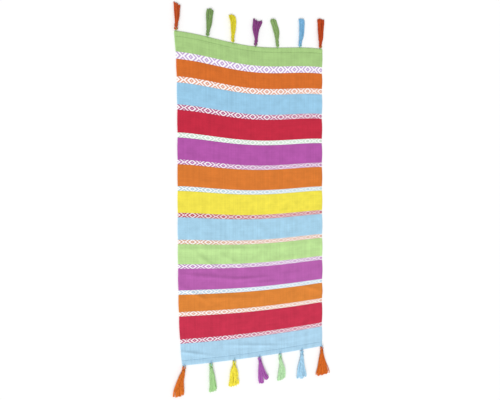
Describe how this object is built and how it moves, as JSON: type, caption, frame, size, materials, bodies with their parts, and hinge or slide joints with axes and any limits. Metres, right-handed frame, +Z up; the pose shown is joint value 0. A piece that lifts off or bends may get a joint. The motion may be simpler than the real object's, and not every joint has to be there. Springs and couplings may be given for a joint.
{
  "type": "runner rug",
  "caption": "Flat-woven cotton runner rug with plain colour bands, white diamond-patterned bands between them, sewn hems and hinged yarn tassels along both ends.",
  "frame": {"origin": "on the floor under the middle of the whole rug, tassels included", "axes": "+Y along the length towards the far, green end; +X across the width to the right; +Z up from the floor"},
  "size_m": [0.642, 1.4414, 0.0149],
  "materials": {
    "cloth_green": "matt flat-woven cotton with fine ribs along the length",
    "cloth_orange": "matt flat-woven cotton with fine ribs along the length",
    "cloth_light_blue": "matt flat-woven cotton with fine ribs along the length",
    "cloth_red": "matt flat-woven cotton with fine ribs along the length",
    "cloth_purple": "matt flat-woven cotton with fine ribs along the length",
    "cloth_yellow": "matt flat-woven cotton with fine ribs along the length",
    "cloth_light_green": "matt flat-woven cotton with fine ribs along the length",
    "cloth_crimson": "matt flat-woven cotton with fine ribs along the length",
    "cloth_white": "matt flat-woven white cotton with coloured diamonds",
    "sewing_thread": "matt cotton thread",
    "yarn_orange": "soft matt twisted cotton yarn",
    "yarn_green": "soft matt twisted cotton yarn",
    "yarn_yellow": "soft matt twisted cotton yarn",
    "yarn_purple": "soft matt twisted cotton yarn",
    "yarn_light_blue": "soft matt twisted cotton yarn"
  },
  "bodies": {
    "rug": {"band_01_green": "cloth_green", "band_02_orange": "cloth_orange", "band_03_light_blue": "cloth_light_blue", "band_04_red": "cloth_red", "band_05_purple": "cloth_purple", "band_06_orange": "cloth_orange", "band_07_yellow": "cloth_yellow", "band_08_light_blue": "cloth_light_blue", "band_09_light_green": "cloth_light_green", "band_10_purple": "cloth_purple", "band_11_orange": "cloth_orange", "band_12_crimson": "cloth_crimson", "band_13_light_blue": "cloth_light_blue", "patterned_borders": "cloth_white", "far_hem": "cloth_green", "near_hem": "cloth_light_blue", "hem_stitching": "sewing_thread"},
    "far_tassel_1_loop": {"far_tassel_1_tie": "yarn_green"},
    "far_tassel_1": {"far_tassel_1_yarn": "yarn_orange", "far_tassel_1_wrap": "yarn_orange"},
    "far_tassel_2_loop": {"far_tassel_2_tie": "yarn_green"},
    "far_tassel_2": {"far_tassel_2_yarn": "yarn_green", "far_tassel_2_wrap": "yarn_green"},
    "far_tassel_3_loop": {"far_tassel_3_tie": "yarn_green"},
    "far_tassel_3": {"far_tassel_3_yarn": "yarn_yellow", "far_tassel_3_wrap": "yarn_yellow"},
    "far_tassel_4_loop": {"far_tassel_4_tie": "yarn_green"},
    "far_tassel_4": {"far_tassel_4_yarn": "yarn_purple", "far_tassel_4_wrap": "yarn_purple"},
    "far_tassel_5_loop": {"far_tassel_5_tie": "yarn_green"},
    "far_tassel_5": {"far_tassel_5_yarn": "yarn_green", "far_tassel_5_wrap": "yarn_green"},
    "far_tassel_6_loop": {"far_tassel_6_tie": "yarn_green"},
    "far_tassel_6": {"far_tassel_6_yarn": "yarn_light_blue", "far_tassel_6_wrap": "yarn_light_blue"},
    "far_tassel_7_loop": {"far_tassel_7_tie": "yarn_green"},
    "far_tassel_7": {"far_tassel_7_yarn": "yarn_orange", "far_tassel_7_wrap": "yarn_orange"},
    "near_tassel_1_loop": {"near_tassel_1_tie": "yarn_light_blue"},
    "near_tassel_1": {"near_tassel_1_yarn": "yarn_orange", "near_tassel_1_wrap": "yarn_orange"},
    "near_tassel_2_loop": {"near_tassel_2_tie": "yarn_light_blue"},
    "near_tassel_2": {"near_tassel_2_yarn": "yarn_green", "near_tassel_2_wrap": "yarn_green"},
    "near_tassel_3_loop": {"near_tassel_3_tie": "yarn_light_blue"},
    "near_tassel_3": {"near_tassel_3_yarn": "yarn_yellow", "near_tassel_3_wrap": "yarn_yellow"},
    "near_tassel_4_loop": {"near_tassel_4_tie": "yarn_light_blue"},
    "near_tassel_4": {"near_tassel_4_yarn": "yarn_purple", "near_tassel_4_wrap": "yarn_purple"},
    "near_tassel_5_loop": {"near_tassel_5_tie": "yarn_light_blue"},
    "near_tassel_5": {"near_tassel_5_yarn": "yarn_green", "near_tassel_5_wrap": "yarn_green"},
    "near_tassel_6_loop": {"near_tassel_6_tie": "yarn_light_blue"},
    "near_tassel_6": {"near_tassel_6_yarn": "yarn_light_blue", "near_tassel_6_wrap": "yarn_light_blue"},
    "near_tassel_7_loop": {"near_tassel_7_tie": "yarn_light_blue"},
    "near_tassel_7": {"near_tassel_7_yarn": "yarn_orange", "near_tassel_7_wrap": "yarn_orange"}
  },
  "joints": [
    {"name": "far_tassel_1_swing", "type": "hinge", "parent": "rug", "child": "far_tassel_1_loop", "pos_m": [-0.303, 0.6015, 0.0076], "axis": [1, 0, 0], "range_deg": [0, 160]},
    {"name": "far_tassel_1_sway", "type": "hinge", "parent": "far_tassel_1_loop", "child": "far_tassel_1", "pos_m": [-0.303, 0.60799, 0.0076], "axis": [0, 0, 1], "range_deg": [-15, 15]},
    {"name": "far_tassel_2_swing", "type": "hinge", "parent": "rug", "child": "far_tassel_2_loop", "pos_m": [-0.184, 0.59393, 0.0076], "axis": [1, 0, 0], "range_deg": [0, 160]},
    {"name": "far_tassel_2_sway", "type": "hinge", "parent": "far_tassel_2_loop", "child": "far_tassel_2", "pos_m": [-0.184, 0.60044, 0.0076], "axis": [0, 0, 1], "range_deg": [-15, 15]},
    {"name": "far_tassel_3_swing", "type": "hinge", "parent": "rug", "child": "far_tassel_3_loop", "pos_m": [-0.085, 0.58293, 0.0076], "axis": [1, 0, 0], "range_deg": [0, 160]},
    {"name": "far_tassel_3_sway", "type": "hinge", "parent": "far_tassel_3_loop", "child": "far_tassel_3", "pos_m": [-0.085, 0.58943, 0.0076], "axis": [0, 0, 1], "range_deg": [-15, 15]},
    {"name": "far_tassel_4_swing", "type": "hinge", "parent": "rug", "child": "far_tassel_4_loop", "pos_m": [0.009, 0.57907, 0.0076], "axis": [1, 0, 0], "range_deg": [0, 160]},
    {"name": "far_tassel_4_sway", "type": "hinge", "parent": "far_tassel_4_loop", "child": "far_tassel_4", "pos_m": [0.009, 0.58557, 0.0076], "axis": [0, 0, 1], "range_deg": [-15, 15]},
    {"name": "far_tassel_5_swing", "type": "hinge", "parent": "rug", "child": "far_tassel_5_loop", "pos_m": [0.102, 0.58486, 0.0076], "axis": [1, 0, 0], "range_deg": [0, 160]},
    {"name": "far_tassel_5_sway", "type": "hinge", "parent": "far_tassel_5_loop", "child": "far_tassel_5", "pos_m": [0.102, 0.59136, 0.0076], "axis": [0, 0, 1], "range_deg": [-15, 15]},
    {"name": "far_tassel_6_swing", "type": "hinge", "parent": "rug", "child": "far_tassel_6_loop", "pos_m": [0.202, 0.5962, 0.0076], "axis": [1, 0, 0], "range_deg": [0, 160]},
    {"name": "far_tassel_6_sway", "type": "hinge", "parent": "far_tassel_6_loop", "child": "far_tassel_6", "pos_m": [0.202, 0.60271, 0.0076], "axis": [0, 0, 1], "range_deg": [-15, 15]},
    {"name": "far_tassel_7_swing", "type": "hinge", "parent": "rug", "child": "far_tassel_7_loop", "pos_m": [0.295, 0.60147, 0.0076], "axis": [1, 0, 0], "range_deg": [0, 160]},
    {"name": "far_tassel_7_sway", "type": "hinge", "parent": "far_tassel_7_loop", "child": "far_tassel_7", "pos_m": [0.295, 0.60797, 0.0076], "axis": [0, 0, 1], "range_deg": [-15, 15]},
    {"name": "near_tassel_1_swing", "type": "hinge", "parent": "rug", "child": "near_tassel_1_loop", "pos_m": [-0.286, -0.60176, 0.0076], "axis": [-1, 0, 0], "range_deg": [0, 160]},
    {"name": "near_tassel_1_sway", "type": "hinge", "parent": "near_tassel_1_loop", "child": "near_tassel_1", "pos_m": [-0.286, -0.60826, 0.0076], "axis": [0, 0, 1], "range_deg": [-15, 15]},
    {"name": "near_tassel_2_swing", "type": "hinge", "parent": "rug", "child": "near_tassel_2_loop", "pos_m": [-0.184, -0.60559, 0.0076], "axis": [-1, 0, 0], "range_deg": [0, 160]},
    {"name": "near_tassel_2_sway", "type": "hinge", "parent": "near_tassel_2_loop", "child": "near_tassel_2", "pos_m": [-0.184, -0.61209, 0.0076], "axis": [0, 0, 1], "range_deg": [-15, 15]},
    {"name": "near_tassel_3_swing", "type": "hinge", "parent": "rug", "child": "near_tassel_3_loop", "pos_m": [-0.092, -0.60741, 0.0076], "axis": [-1, 0, 0], "range_deg": [0, 160]},
    {"name": "near_tassel_3_sway", "type": "hinge", "parent": "near_tassel_3_loop", "child": "near_tassel_3", "pos_m": [-0.092, -0.61391, 0.0076], "axis": [0, 0, 1], "range_deg": [-15, 15]},
    {"name": "near_tassel_4_swing", "type": "hinge", "parent": "rug", "child": "near_tassel_4_loop", "pos_m": [0.012, -0.60799, 0.0076], "axis": [-1, 0, 0], "range_deg": [0, 160]},
    {"name": "near_tassel_4_sway", "type": "hinge", "parent": "near_tassel_4_loop", "child": "near_tassel_4", "pos_m": [0.012, -0.61449, 0.0076], "axis": [0, 0, 1], "range_deg": [-15, 15]},
    {"name": "near_tassel_5_swing", "type": "hinge", "parent": "rug", "child": "near_tassel_5_loop", "pos_m": [0.1, -0.6073, 0.0076], "axis": [-1, 0, 0], "range_deg": [0, 160]},
    {"name": "near_tassel_5_sway", "type": "hinge", "parent": "near_tassel_5_loop", "child": "near_tassel_5", "pos_m": [0.1, -0.61379, 0.0076], "axis": [0, 0, 1], "range_deg": [-15, 15]},
    {"name": "near_tassel_6_swing", "type": "hinge", "parent": "rug", "child": "near_tassel_6_loop", "pos_m": [0.196, -0.60524, 0.0076], "axis": [-1, 0, 0], "range_deg": [0, 160]},
    {"name": "near_tassel_6_sway", "type": "hinge", "parent": "near_tassel_6_loop", "child": "near_tassel_6", "pos_m": [0.196, -0.61174, 0.0076], "axis": [0, 0, 1], "range_deg": [-15, 15]},
    {"name": "near_tassel_7_swing", "type": "hinge", "parent": "rug", "child": "near_tassel_7_loop", "pos_m": [0.287, -0.60167, 0.0076], "axis": [-1, 0, 0], "range_deg": [0, 160]},
    {"name": "near_tassel_7_sway", "type": "hinge", "parent": "near_tassel_7_loop", "child": "near_tassel_7", "pos_m": [0.287, -0.60817, 0.0076], "axis": [0, 0, 1], "range_deg": [-15, 15]}
  ]
}
